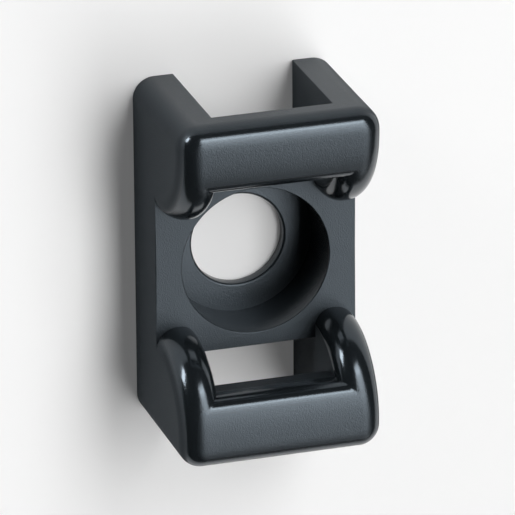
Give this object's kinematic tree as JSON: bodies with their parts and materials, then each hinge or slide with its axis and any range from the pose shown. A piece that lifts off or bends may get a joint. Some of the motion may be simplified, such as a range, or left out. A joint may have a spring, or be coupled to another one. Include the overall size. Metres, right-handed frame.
{
  "type": "cable tie mount",
  "caption": "Screw-down saddle mount for a wide cable tie: flat base, screw hole with a recess for the head, rounded arms and a cross bar at each end over the strap channel",
  "frame": {"origin": "on the mounting face, at the axis of the screw hole", "axes": "X along the mount, the way the strap runs; Y across it, from arm to arm; Z along the screw, away from the surface that carries the mount"},
  "size_m": [0.0276, 0.016, 0.0128],
  "materials": {
    "nylon": "moulded black nylon, fine even grain on the flats, smoother on the rounded edges"
  },
  "bodies": {
    "root": {"mount_body": "nylon"}
  },
  "joints": []
}
